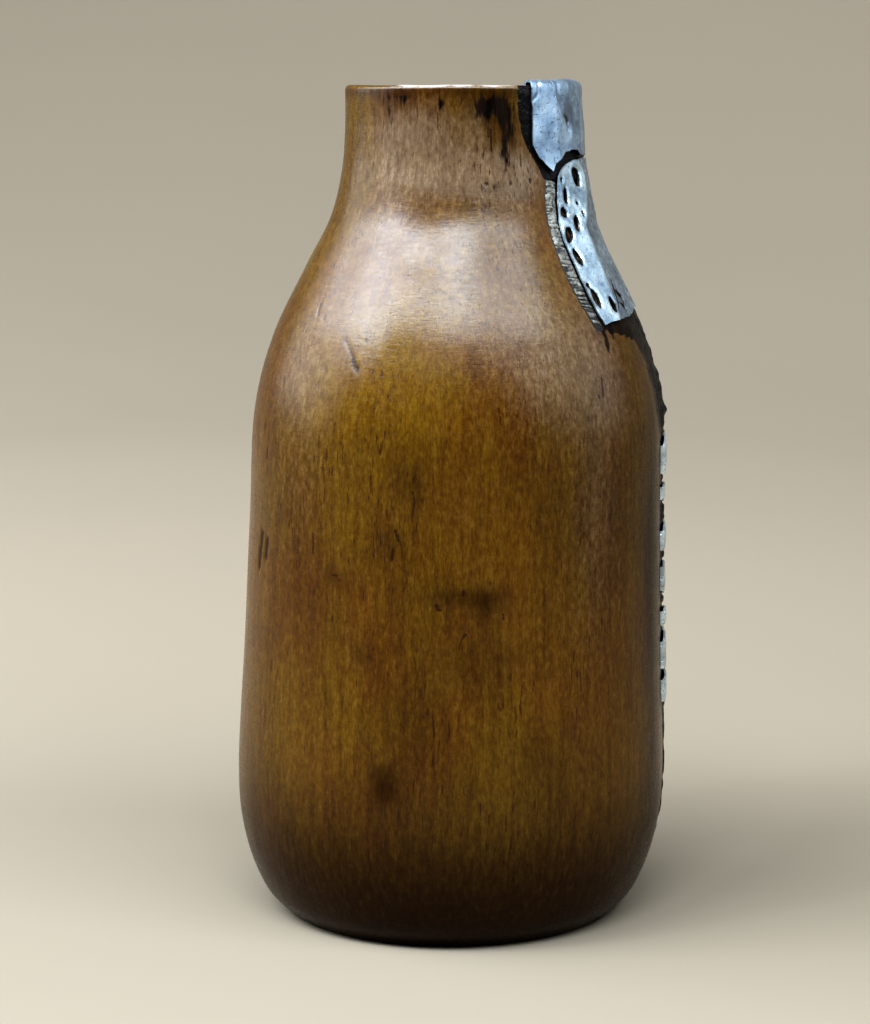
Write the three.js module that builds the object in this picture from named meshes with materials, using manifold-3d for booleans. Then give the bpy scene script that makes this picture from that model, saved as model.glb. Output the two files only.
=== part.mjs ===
// A tall, bottle-shaped milk vessel carved from one piece of wood, with a short wide neck.
// A crack runs down its right side from the rim almost to the base. It is filled with pitch and
// mended with a folded aluminium patch on the rim, a pierced aluminium patch on the shoulder and
// a row of aluminium staples on the belly.
//
// Millimetres, +Z up. The origin is the centre of the flat base, and the front looks along -Y.
// Azimuths are in degrees, from the front (0) round to the right side (90).

import * as THREE from 'three';
import { mergeVertices } from 'three/addons/utils/BufferGeometryUtils.js';
import Module from 'manifold-3d';

// ---------------------------------------------------------------- driving dimensions

const HEIGHT = 251.4;           // base to wooden rim
const BASE_RADIUS = 50.3;       // flat that the vessel stands on
const HEEL_RADIUS = 65.4;       // widest, just above the base
const CHEST_RADIUS = 61.6;      // where the shoulder begins
const NECK_RADIUS = 34.4;
const NECK_LEAN = 3.1;          // the neck stands this far to the right of the base
const RIM_WALL = 4.2;
const BELLY_WALL = 8.0;
const BASE_WALL = 13.0;
const RIM_ROUNDING = 1.4;

const GAP = 0.3;                // clearance between pieces that touch
const SHEET = 0.6;              // thickness of the aluminium sheet
const CRACK_WIDTH = 2.6;
const CRACK_FOOT = 20;          // height at which the crack ends
const CRACK_STEPS = 24;
const SIDE_SEGMENTS = 60;

const RIM_PATCH_CENTRE = 77;    // azimuth
const RIM_PATCH_HALF = 41.4;
const RIM_PATCH_INNER_DEPTH = 15;
const FOLD_FOOT = 248.7;        // where the leaves begin to bend over the rim
const FOLD_RISE = 3.6;
const FOLD_SQUARENESS = 0.6;    // 1 is a round arch, and less is squarer

const BEAD_TOP = 183.2;         // the pitch lies open on the wood below this height
const BEAD_THICKNESS = 0.9;     // under the staples
const STAPLE_HALF = 9.2;        // azimuth from the crack to each leg
const STAPLE_LEG = 5;           // depth of a leg in the wood
const STAPLE_BEND = 1.2;        // half the angle, in radians, that a crown arches through
const PUTTY_WIDTH = 3.6;
const PUTTY_CREST = 1.3;
const PUTTY_EDGE = 0.5;

const WOOD = { color: 0x7a4a1c, roughness: 0.42, metalness: 0 };
const ALUMINIUM = { color: 0xa9b8c2, roughness: 0.38, metalness: 1 };
const PITCH = { color: 0x17130f, roughness: 0.35, metalness: 0 };
const PUTTY = { color: 0x5a5346, roughness: 0.85, metalness: 0 };

const wasm = await Module();
wasm.setup();

// ---------------------------------------------------------------- helpers

const radians = THREE.MathUtils.degToRad;
const v2 = (x, y) => new THREE.Vector2(x, y);

// Straight-line interpolation through [key, value] pairs in rising order of key.
function along(pairs, key) {
  if (key <= pairs[0][0]) return pairs[0][1];
  for (let i = 1; i < pairs.length; i += 1) {
    const [k0, a] = pairs[i - 1];
    const [k1, b] = pairs[i];
    if (key <= k1) return a + ((b - a) * (key - k0)) / (k1 - k0);
  }
  return pairs[pairs.length - 1][1];
}

// A closed geometry with shared corners and no collapsed triangles, as a manifold solid.
function solid(geometry) {
  geometry.deleteAttribute('normal');
  geometry.deleteAttribute('uv');
  const merged = mergeVertices(geometry, 1e-4);
  const index = merged.index.array;
  const kept = [];
  for (let i = 0; i < index.length; i += 3) {
    const [a, b, c] = [index[i], index[i + 1], index[i + 2]];
    if (a !== b && b !== c && c !== a) kept.push(a, b, c);
  }
  return new wasm.Manifold(new wasm.Mesh({
    numProp: 3,
    vertProperties: new Float32Array(merged.attributes.position.array),
    triVerts: new Uint32Array(kept),
  }));
}

function geometryOf(manifold) {
  const mesh = manifold.getMesh();
  const geometry = new THREE.BufferGeometry();
  geometry.setAttribute('position', new THREE.BufferAttribute(mesh.vertProperties, 3));
  geometry.setIndex(new THREE.BufferAttribute(mesh.triVerts, 1));
  geometry.computeVertexNormals();
  return geometry;
}

function piece(name, manifold, finish) {
  const mesh = new THREE.Mesh(geometryOf(manifold), new THREE.MeshStandardMaterial(finish));
  mesh.name = name;
  return mesh;
}

// ---------------------------------------------------------------- the vessel's outline

const outerCurve = new THREE.SplineCurve([
  v2(BASE_RADIUS, 0), v2(57.8, 8), v2(63.6, 24), v2(HEEL_RADIUS, 44), v2(63.8, 84), v2(62.6, 122),
  v2(CHEST_RADIUS, 154), v2(56.0, 177), v2(46.1, 198), v2(39.0, 212), v2(35.5, 226),
  v2(NECK_RADIUS + 0.1, 238), v2(NECK_RADIUS, HEIGHT - RIM_ROUNDING),
]);
const outerPoints = outerCurve.getPoints(24);
const outerPairs = outerPoints.map((p) => [p.y, p.x]);

const innerCurve = new THREE.SplineCurve([
  v2(NECK_RADIUS - RIM_WALL, HEIGHT - RIM_ROUNDING), v2(NECK_RADIUS - RIM_WALL, 232), v2(31.2, 216),
  v2(38.5, 196), v2(48.5, 174), v2(53.8, 150), v2(HEEL_RADIUS - BELLY_WALL - 1.5, 100),
  v2(HEEL_RADIUS - BELLY_WALL, 50), v2(53.5, 27), v2(42, BASE_WALL + 2), v2(26, BASE_WALL),
]);
const innerPoints = innerCurve.getPoints(14);
const innerPairs = innerPoints.map((p) => [p.y, p.x]).reverse();

const outerRadius = (z) => along(outerPairs, z);
const innerRadius = (z) => along(innerPairs, z);
const leanAt = (z) => NECK_LEAN * THREE.MathUtils.smoothstep(z, 0, HEIGHT);

// Points on a quarter turn of the rim's rounding, from one angle to another.
function rounding(centreRadius, from, to) {
  return [0, 0.5, 1].map((t) => {
    const angle = radians(from + (to - from) * t);
    return v2(centreRadius + RIM_ROUNDING * Math.cos(angle),
      HEIGHT - RIM_ROUNDING + RIM_ROUNDING * Math.sin(angle));
  });
}

function vesselBlank() {
  const profile = [
    v2(0, 0), ...outerPoints.slice(0, -1),
    ...rounding(NECK_RADIUS - RIM_ROUNDING, 0, 90),
    ...rounding(NECK_RADIUS - RIM_WALL + RIM_ROUNDING, 90, 180),
    ...innerPoints.slice(1),
    v2(0, BASE_WALL - 1),
  ];
  const lathe = new THREE.LatheGeometry(profile, SIDE_SEGMENTS);
  lathe.rotateX(Math.PI / 2);
  const corners = lathe.attributes.position;
  for (let i = 0; i < corners.count; i += 1) {
    corners.setX(i, corners.getX(i) + leanAt(corners.getZ(i)));
  }
  return solid(lathe);
}

// ---------------------------------------------------------------- pieces that follow the wall

// A unit box bent round the vessel. place(across, up, out) takes numbers from 0 to 1 and gives
// the azimuth, height and radius of that corner.
function wrapped(stepsAcross, stepsUp, place) {
  const box = new THREE.BoxGeometry(1, 1, 1, stepsAcross, stepsUp, 1);
  const corners = box.attributes.position;
  for (let i = 0; i < corners.count; i += 1) {
    const [across, up, out] = [corners.getX(i), corners.getY(i), corners.getZ(i)].map((n) => n + 0.5);
    const { azimuth, z, radius } = place(across, up, out);
    const angle = radians(azimuth);
    corners.setXYZ(i, leanAt(z) + radius * Math.sin(angle), -radius * Math.cos(angle), z);
  }
  return solid(box);
}

// Azimuth turned through by a distance along the wall.
const turn = (distance, z) => THREE.MathUtils.radToDeg(distance / outerRadius(z));

// The crack wanders forward as it climbs the shoulder: azimuth against height.
const crackLine = new THREE.SplineCurve([
  v2(91, CRACK_FOOT), v2(92.5, 80), v2(92.5, 130), v2(90, 162), v2(84.5, 188), v2(79.5, 212),
  v2(76, HEIGHT),
]);
const crackPairs = crackLine.getPoints(60).map((p) => [p.y, p.x]);
const crackAzimuth = (z) => along(crackPairs, z);

// A slab that follows the crack, between two radii that depend on the height.
function crackSlab(width, low, high, inside, outside) {
  return wrapped(1, CRACK_STEPS, (across, up, out) => {
    const z = THREE.MathUtils.lerp(low, high, up);
    const azimuth = crackAzimuth(z) + turn((across - 0.5) * width, z);
    return { azimuth, z, radius: out < 0.5 ? inside(z) : outside(z) };
  });
}

// ---------------------------------------------------------------- staples

// Each staple: height of its middle, its length along the crack, and how much it slants.
const STAPLES = [
  [140.8, 10.8, 3.2], [128.4, 5.0, 1.6], [115.4, 7.4, 2.4], [102.0, 9.2, 2.8],
  [90.0, 5.4, 1.2], [80.0, 10.4, 3.4], [68.6, 8.4, 2.6],
];

function staple([middle, length, slant]) {
  const height = (across, up) => middle + (up - 0.5) * length + (across - 0.5) * slant;
  const crown = wrapped(6, 2, (across, up, out) => {
    const z = height(across, up);
    const azimuth = crackAzimuth(z) + (across * 2 - 1) * STAPLE_HALF;
    const hump = BEAD_THICKNESS * Math.cos((across * 2 - 1) * STAPLE_BEND);
    return { azimuth, z, radius: outerRadius(z) + 2 * GAP + hump + out * SHEET };
  });
  const leg = (side) => wrapped(1, 2, (across, up, out) => {
    const z = height(side, up);
    const azimuth = crackAzimuth(z) + (side * 2 - 1) * STAPLE_HALF
      + turn((across - side) * SHEET, z);
    const reach = out < 0.5 ? -STAPLE_LEG : 2 * GAP + SHEET * 0.8;
    return { azimuth, z, radius: outerRadius(z) + reach };
  });
  return crown.add(leg(0)).add(leg(1));
}

// The slits in the wood that a staple's legs go into.
function slits([middle, length, slant]) {
  const room = length + 2 * GAP;
  const slit = (side) => wrapped(1, 2, (across, up, out) => {
    const z = middle + (up - 0.5) * room + (side - 0.5) * slant;
    const azimuth = crackAzimuth(z) + (side * 2 - 1) * STAPLE_HALF
      + turn((across - side) * SHEET + (across * 2 - 1) * GAP, z);
    return { azimuth, z, radius: outerRadius(z) + (out < 0.5 ? -STAPLE_LEG - GAP : 2) };
  });
  return slit(0).add(slit(1));
}

// ---------------------------------------------------------------- wooden body

function vesselBody() {
  const past = 6; // the cutter sticks out this far on both sides of the wall
  const crack = crackSlab(CRACK_WIDTH, CRACK_FOOT, HEIGHT + past,
    (z) => innerRadius(z) - past, (z) => outerRadius(z) + past);
  let body = vesselBlank().subtract(crack);
  for (const row of STAPLES) {
    body = body.subtract(slits(row));
  }
  return body;
}

// ---------------------------------------------------------------- pitch and putty

// The bead of pitch against height: its half width in azimuth, and its thickness in the middle.
const BEAD_HALF = [[CRACK_FOOT, 1.6], [60, 8], [148.4, 8], [158, 15], [BEAD_TOP, 18]];
const BEAD_CREST = [
  [148.4, BEAD_THICKNESS], [153.5, 1.8], [160, 1.3], [166, 0.9], [171, 0.5], [BEAD_TOP, 0.4],
];

// Pitch that fills the crack and stands in a bead on the wood below the shoulder patch.
function crackPitch() {
  const width = CRACK_WIDTH - 2 * GAP;
  const fill = crackSlab(width, CRACK_FOOT + GAP, HEIGHT - 0.5, innerRadius, outerRadius);
  const bead = wrapped(6, CRACK_STEPS, (across, up, out) => {
    const z = THREE.MathUtils.lerp(CRACK_FOOT + 1, BEAD_TOP, up);
    const side = across * 2 - 1;
    const fullness = 0.35 + 0.65 * Math.cos((side * Math.PI) / 2);
    const azimuth = crackAzimuth(z) + side * along(BEAD_HALF, z);
    return { azimuth, z, radius: outerRadius(z) + GAP + out * along(BEAD_CREST, z) * fullness };
  });
  const root = crackSlab(width, CRACK_FOOT + 1.5, BEAD_TOP - 0.5,
    (z) => outerRadius(z) - 1, (z) => outerRadius(z) + 2 * GAP);
  return fill.add(root).add(bead);
}

// Radius of the rim patch's inner face. It stands off the wood most over the crack and low down,
// and draws in towards the rim.
function rimPatchInside(azimuth, z) {
  const offset = Math.abs(azimuth - RIM_PATCH_CENTRE);
  const low = along([[0, 2.2], [16, 2.0], [30, 1.4], [RIM_PATCH_HALF, 0.8]], offset);
  const high = along([[0, 1.4], [16, 1.3], [30, 0.8], [RIM_PATCH_HALF, 0.5]], offset);
  const rise = THREE.MathUtils.smoothstep(z, FOLD_FOOT - 12, FOLD_FOOT);
  return outerRadius(z) + THREE.MathUtils.lerp(low, high, rise);
}

// Bed of pitch between the rim patch and the wood. It shows in the gap above the shoulder patch.
function rimPitch() {
  return wrapped(10, 6, (across, up, out) => {
    const offset = (across * 2 - 1) * (RIM_PATCH_HALF - 4);
    const azimuth = RIM_PATCH_CENTRE + offset;
    const foot = along([[0, 230.8], [28, 230.8], [38, 234]], Math.abs(offset));
    const z = THREE.MathUtils.lerp(foot, HEIGHT - 3, up);
    const radius = out < 0.5 ? outerRadius(z) + GAP : rimPatchInside(azimuth, z) - GAP;
    return { azimuth, z, radius };
  });
}

// ---------------------------------------------------------------- aluminium patches

// The rim patch's lower edge, as azimuth and height: pointed on both sides, and cut away over the
// pitch that shows above the shoulder patch.
const RIM_PATCH_EDGE = [
  [35.6, 233.5], [38.7, 230.5], [42.8, 228.3], [46.8, 226.2], [48.6, 228.2], [52.1, 229.8],
  [56.4, 231.8], [61.2, 232.5], [67.1, 232.3], [70, 230.8], [80, 230.8], [92, 231], [104, 228.6],
  [107.2, 226.2], [118.4, 233.5],
];

function rimPatch() {
  const leafSteps = 6;
  const foldSteps = 10;
  const innerSteps = 2;
  const steps = leafSteps + foldSteps + innerSteps;
  const columns = RIM_PATCH_EDGE.length - 1;
  const back = NECK_RADIUS - RIM_WALL - 2 * GAP;
  return wrapped(columns, steps, (across, up, out) => {
    const [azimuth, foot] = RIM_PATCH_EDGE[Math.round(across * columns)];
    const step = up * steps;
    const thickness = out * SHEET;
    if (step <= leafSteps) {
      const z = THREE.MathUtils.lerp(foot, FOLD_FOOT, step / leafSteps);
      return { azimuth, z, radius: rimPatchInside(azimuth, z) + thickness };
    }
    if (step >= leafSteps + foldSteps) {
      const depth = ((step - leafSteps - foldSteps) / innerSteps) * RIM_PATCH_INNER_DEPTH;
      return { azimuth, z: FOLD_FOOT - depth, radius: back - thickness };
    }
    const front = rimPatchInside(azimuth, FOLD_FOOT);
    const angle = (Math.PI * (step - leafSteps)) / foldSteps;
    const level = Math.sign(Math.cos(angle)) * Math.abs(Math.cos(angle)) ** FOLD_SQUARENESS;
    const rise = Math.sin(angle) ** FOLD_SQUARENESS;
    return {
      azimuth,
      z: FOLD_FOOT + (FOLD_RISE + thickness) * rise,
      radius: (front + back) / 2 + ((front - back) / 2 + thickness) * level,
    };
  });
}

// The shoulder patch's front edge: azimuth against height. The rear edge is its mirror image in
// the crack.
const SHOULDER_PATCH_FRONT = [
  [182, 51.1], [185.6, 49.6], [190, 48.1], [197, 47], [206, 45.6], [211.7, 46], [218, 47.7],
  [224.9, 50.2],
];
// Heights of its arched top and slanting foot against the azimuth from the crack.
const SHOULDER_PATCH_TOP = [[0, 230], [13.2, 229.6], [18.8, 228.6], [23.8, 226.9], [27.6, 224.9]];
const SHOULDER_PATCH_FOOT = [[0, 185.6], [5.4, 185.3], [16, 183.8], [27.5, 183.2], [34.8, 182.1]];
// How far it stands off the wood: against height over the crack, and what is left of that
// against the share of the way to the edge.
const SHOULDER_PATCH_LIFT = [[182, 0.4], [208, 0.4], [214, 0.9], [219, 1.4], [224, 1.9], [230, 2.4]];
const SHOULDER_PATCH_SPREAD = [[0, 1], [0.5, 0.9], [1, 0.5]];

const patchHalfAt = (z) => crackAzimuth(z) - along(SHOULDER_PATCH_FRONT, z);

// Each punched slot in front of the crack: azimuth, height, width, length and slant in degrees.
const SLOTS = [
  [65.2, 224.6, 4.2, 5.7, -14], [54.1, 219.2, 2.1, 4.4, 6], [50.4, 214.4, 3.4, 3.1, 0],
  [57.1, 211.1, 2.3, 5.4, 22], [49.7, 208.1, 3.0, 4.8, 28], [49.6, 201.5, 2.5, 4.7, -14],
  [51.2, 189.8, 1.9, 5.0, -8], [58.7, 187.6, 1.6, 4.2, -6], [64.6, 190.4, 1.4, 6.6, 24],
];

function slot([front, height, width, length, slant], side) {
  const cutter = new THREE.CylinderGeometry(width / 2, width / 2, 16, 8);
  cutter.scale(1, 1, length / width);
  cutter.rotateY(radians(-side * slant));
  const crack = crackAzimuth(height);
  const azimuth = radians(crack + side * (crack - front));
  const radius = outerRadius(height);
  cutter.rotateZ(azimuth);
  cutter.translate(leanAt(height) + radius * Math.sin(azimuth), -radius * Math.cos(azimuth), height);
  return solid(cutter);
}

function shoulderPatch() {
  const widest = (edge) => edge[edge.length - 1][0];
  let patch = wrapped(14, 12, (across, up, out) => {
    const side = across * 2 - 1;
    const foot = along(SHOULDER_PATCH_FOOT, Math.abs(side) * widest(SHOULDER_PATCH_FOOT));
    const top = along(SHOULDER_PATCH_TOP, Math.abs(side) * widest(SHOULDER_PATCH_TOP));
    const z = THREE.MathUtils.lerp(foot, top, up);
    const azimuth = crackAzimuth(z) + side * patchHalfAt(z);
    const lift = along(SHOULDER_PATCH_LIFT, z) * along(SHOULDER_PATCH_SPREAD, Math.abs(side));
    return { azimuth, z, radius: outerRadius(z) + Math.max(lift, GAP) + out * SHEET };
  });
  for (const row of SLOTS) {
    patch = patch.subtract(slot(row, -1)).subtract(slot(row, 1));
  }
  return patch;
}

// Ridge of dried putty along one edge of the shoulder patch. side is -1 in front, 1 behind.
function puttyBand(side) {
  return wrapped(2, 18, (across, up, out) => {
    const z = THREE.MathUtils.lerp(181, 223, up);
    const edge = patchHalfAt(z) + turn(GAP, z);
    const reach = side < 0 ? 1 - across : across;
    const azimuth = crackAzimuth(z) + side * (edge + turn(PUTTY_WIDTH * reach, z));
    const crest = across === 0.5 ? PUTTY_CREST : PUTTY_EDGE;
    return { azimuth, z, radius: outerRadius(z) + GAP + out * crest };
  });
}

// ---------------------------------------------------------------- assembly

const vessel = new THREE.Group();
vessel.add(piece('vessel_body', vesselBody(), WOOD));
vessel.add(piece('crack_pitch', crackPitch(), PITCH));
vessel.add(piece('rim_pitch', rimPitch(), PITCH));
vessel.add(piece('putty_band_front', puttyBand(-1), PUTTY));
vessel.add(piece('putty_band_rear', puttyBand(1), PUTTY));
vessel.add(piece('rim_patch', rimPatch(), ALUMINIUM));
vessel.add(piece('shoulder_patch', shoulderPatch(), ALUMINIUM));
STAPLES.forEach((row, i) => {
  vessel.add(piece(`belly_staple_${i + 1}`, staple(row), ALUMINIUM));
});

export default vessel;
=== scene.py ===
# A tall carved wooden milk vessel whose side crack is filled with pitch and mended with aluminium.
#
# Lengths in the shape code are millimetres and azimuths are degrees from the front (-Y) round to
# the right (+X), as on the CAD parts. Meshes are scaled to metres when they are made.

import math

import bpy
import numpy as np
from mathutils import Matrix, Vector
from mathutils.geometry import delaunay_2d_cdt


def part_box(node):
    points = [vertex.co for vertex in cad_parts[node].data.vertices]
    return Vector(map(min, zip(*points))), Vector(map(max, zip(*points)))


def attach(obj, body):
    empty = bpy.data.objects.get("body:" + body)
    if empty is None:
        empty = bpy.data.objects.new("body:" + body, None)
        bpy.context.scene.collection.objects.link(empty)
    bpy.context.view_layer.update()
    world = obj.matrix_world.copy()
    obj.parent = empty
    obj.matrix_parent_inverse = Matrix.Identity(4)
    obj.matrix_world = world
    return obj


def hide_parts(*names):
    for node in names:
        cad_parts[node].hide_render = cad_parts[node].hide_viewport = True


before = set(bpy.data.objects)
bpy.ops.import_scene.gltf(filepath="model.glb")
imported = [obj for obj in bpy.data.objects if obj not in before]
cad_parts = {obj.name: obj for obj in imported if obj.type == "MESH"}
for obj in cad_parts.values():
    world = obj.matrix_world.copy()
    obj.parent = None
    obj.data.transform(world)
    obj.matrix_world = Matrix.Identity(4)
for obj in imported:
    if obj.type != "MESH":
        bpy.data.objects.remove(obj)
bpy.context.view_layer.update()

MM = 0.001

# ---------------------------------------------------------------- driving dimensions

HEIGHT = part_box("vessel_body")[1].z / MM
NECK_LEAN = 3.1
NECK_RADIUS = 34.4
RIM_WALL = 4.2
RIM_ROUNDING = 1.4
BASE_WALL = 13.0
CRACK_FOOT = 20.0
GAP = 0.3
SHEET = 0.6
FOLD_FOOT = 248.7
FOLD_RISE = 3.6
RIM_PATCH_CENTRE = 77.0
BEAD_TOP = 183.2
STAPLE_HALF = 9.2

OUTLINE = [
    (0, 50.3), (8, 57.8), (24, 63.6), (44, 65.4), (84, 63.8), (122, 62.6), (154, 61.6),
    (177, 56.0), (198, 46.1), (212, 39.0), (226, 35.5), (238, 34.5),
    (HEIGHT - RIM_ROUNDING, NECK_RADIUS),
]
INSIDE = [
    (BASE_WALL, 26), (BASE_WALL + 2, 42), (27, 53.5), (50, 57.4), (100, 55.9), (150, 53.8),
    (174, 48.5), (196, 38.5), (216, 31.2), (232, 30.2),
    (HEIGHT - RIM_ROUNDING, NECK_RADIUS - RIM_WALL),
]
CRACK = [
    (CRACK_FOOT, 91), (80, 92.5), (130, 92.5), (162, 90), (188, 84.5), (212, 79.5), (HEIGHT, 76),
]

# Outlines of the metal and the putty. RIM_PATCH_EDGE is the rim patch's whole foot. The others give
# the half in front of the crack, which is mirrored behind it. SHOULDER_FRONT, CREASE and
# PUTTY_OUTER are (height, azimuth), and the rest are (azimuth, height).
RIM_PATCH_EDGE = [
    (35.6, 233.5), (38.7, 230.5), (42.8, 228.3), (46.8, 226.2), (48.6, 228.2), (52.1, 229.8),
    (56.4, 231.8), (61.2, 232.5), (67.1, 232.3), (70, 230.8), (80, 230.8), (92, 231),
    (104, 228.6), (107.2, 226.2), (118.4, 233.5),
]
SHOULDER_FRONT = [
    (182, 51.1), (185.6, 49.6), (190, 48.1), (197, 47), (206, 45.6), (211.7, 46), (218, 47.7),
    (224.9, 50.2),
]
SHOULDER_TOP = [
    (50.2, 224.9), (53.9, 226.9), (58.8, 228.6), (64.3, 229.6), (77.5, 230),
]
SHOULDER_FOOT = [
    (51.1, 182.1), (54.3, 182.8), (58.3, 183.2), (69.7, 183.7), (79.8, 185.3), (85.2, 185.6),
]
CREASE = [
    (182, 59), (193, 60.5), (200, 60.8), (206, 61.5), (210.5, 62), (213.5, 65.8), (217.6, 70.5),
    (223, 72.5), (226.4, 72), (230, 66),
]
PUTTY_OUTER = [
    (181, 47.2), (184.4, 45.3), (188.7, 43.7), (195.3, 41.4), (200.4, 40.5), (206.6, 40.1),
    (215.2, 41.1), (221, 42.3), (224, 43.2),
]

# Punched slots: azimuth, height, width, length and slant in degrees.
SLOTS = [
    (65.2, 224.6, 3.7, 5.6, -14), (54.1, 219.2, 2.0, 4.4, 6), (50.4, 214.4, 3.2, 2.9, 20),
    (57.1, 211.1, 2.2, 5.2, 22), (49.7, 208.1, 2.8, 4.7, 28), (49.6, 201.5, 2.2, 4.7, -14),
    (49.4, 193.6, 0.9, 1.1, 0), (51.2, 189.8, 1.8, 4.9, -8), (58.7, 187.6, 1.4, 4.2, -6),
    (52.3, 223.9, 0.8, 1.3, 0), (62.2, 216.9, 0.9, 0.8, 0), (63.8, 213.9, 0.6, 1.5, 10),
]
# Torn slits: azimuth and height along each one.
TEARS = [
    [(65.9, 194.2), (64.9, 191.5), (64.4, 189.2), (62.0, 185.9)],
    [(66.4, 191.2), (69.3, 189.3), (69.0, 187.2)], [(66.2, 187.6), (68.6, 185.4)],
]
# Staples: height of the middle, length along the crack, and slant.
STAPLES = [
    (140.8, 10.8, 2.6), (128.4, 5.0, -0.8), (115.4, 7.4, 1.8), (102.0, 9.2, -1.4),
    (90.0, 5.4, -1.6), (80.0, 10.4, 2.2), (68.6, 8.4, 1.6),
]


# ---------------------------------------------------------------- curves and noise

def spline(points, steps=40):
    """A smooth line through (height, value) points, as two arrays in rising height."""
    p = np.array(points, float)
    p = np.vstack([2 * p[0] - p[1], p, 2 * p[-1] - p[-2]])
    t = np.linspace(0, 1, steps, endpoint=False)[:, None]
    runs = []
    for a, b, c, d in zip(p, p[1:], p[2:], p[3:]):
        runs.append(0.5 * (2 * b + (c - a) * t + (2 * a - 5 * b + 4 * c - d) * t**2
                           + (3 * b - a - 3 * c + d) * t**3))
    line = np.vstack(runs + [p[-2:-1]])
    return np.maximum.accumulate(line[:, 0]), line[:, 1]


OUTER_Z, OUTER_R = spline(OUTLINE)
INNER_Z, INNER_R = spline(INSIDE)
CRACK_Z, CRACK_A = spline(CRACK)


def outer_radius(z):
    return np.interp(z, OUTER_Z, OUTER_R)


def crack_azimuth(z):
    return np.interp(z, CRACK_Z, CRACK_A)


def smooth(value, low, high):
    """0 below low, 1 above high, with soft ends. low may be above high."""
    t = np.clip((value - low) / (high - low), 0, 1)
    return t * t * (3 - 2 * t)


def lean(z):
    return NECK_LEAN * smooth(z, 0, HEIGHT)


# Large odd numbers that scramble a place in the noise lattice, and masks that keep the low bits.
MIX_X, MIX_Y, MIX_Z, MIX_SEED = 374761393, 668265263, 2147483647, 1274126177
LOW_32, LOW_16 = 0xFFFFFFFF, 0xFFFF


def lattice(ix, iy, iz, seed):
    """A repeatable number from -1 to 1 for each whole-number place."""
    n = (ix * MIX_X + iy * MIX_Y + iz * MIX_Z + seed * MIX_SEED) & LOW_32
    n = ((n ^ (n >> 13)) * MIX_SEED) & LOW_32
    n = (n ^ (n >> 16)) & LOW_16
    return n / (LOW_16 / 2) - 1.0


def lumps(points, size, seed):
    """Smooth noise from -1 to 1 whose lumps are about size across. size is one number or three."""
    p = np.asarray(points, float) / np.asarray(size, float)
    cell = np.floor(p).astype(np.int64)
    f = p - cell
    f = f * f * (3 - 2 * f)
    total = 0.0
    for dx in (0, 1):
        for dy in (0, 1):
            for dz in (0, 1):
                weight = (np.where(dx, f[..., 0], 1 - f[..., 0])
                          * np.where(dy, f[..., 1], 1 - f[..., 1])
                          * np.where(dz, f[..., 2], 1 - f[..., 2]))
                corner = lattice(cell[..., 0] + dx, cell[..., 1] + dy, cell[..., 2] + dz, seed)
                total = total + weight * corner
    return total


def ripple(values, size, seed, row=0):
    """Smooth noise from -1 to 1 along one line of values. row picks another line."""
    return lumps(np.stack([values, 0 * values, 0 * values + row], -1), size, seed)


def on_wall(azimuth, z, radius):
    """Points in millimetres from azimuths in degrees, heights, and radii about the leaning axis."""
    angle = np.radians(azimuth)
    return np.stack([lean(z) + radius * np.sin(angle), -radius * np.cos(angle), z + 0 * angle], -1)


# ---------------------------------------------------------------- meshes

def make_piece(name, points, faces, material, replaces):
    """A mesh piece from millimetre points, in the frame's metres, riding on the vessel."""
    mesh = bpy.data.meshes.new(name)
    mesh.from_pydata((np.asarray(points) * MM).tolist(), [], faces)
    mesh.validate()
    mesh.shade_smooth()
    mesh.materials.append(material)
    piece = bpy.data.objects.new(name, mesh)
    bpy.context.scene.collection.objects.link(piece)
    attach(piece, "root")
    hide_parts(replaces)
    return piece


def grid_faces(rows, columns, closed_columns=False, closed_rows=False):
    """Quads between neighbouring rows and columns of a grid of points numbered row by row."""
    r = np.arange(rows if closed_rows else rows - 1)
    c = np.arange(columns if closed_columns else columns - 1)
    r, c = np.meshgrid(r, c, indexing="ij")
    r1, c1 = (r + 1) % rows, (c + 1) % columns
    quads = np.stack([r * columns + c, r * columns + c1, r1 * columns + c1, r1 * columns + c], -1)
    return quads.reshape(-1, 4)


def add_attribute(piece, name, values):
    layer = piece.data.attributes.new(name, "FLOAT", "POINT")
    layer.data.foreach_set("value", np.asarray(values, np.float32))


def thick_sheet(top, bottom, quads):
    """Points and faces of a closed sheet from matching outer and inner points."""
    count = len(top)
    faces = [tuple(int(i) for i in q) for q in quads]
    edges = {}
    for face in faces:
        for a, b in zip(face, face[1:] + face[:1]):
            edges[(a, b)] = True
    sides = [(b, a, a + count, b + count) for (a, b) in edges if (b, a) not in edges]
    under = [tuple(i + count for i in reversed(face)) for face in faces]
    return np.vstack([top, bottom]), faces + under + sides


# ---------------------------------------------------------------- node helpers

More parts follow.
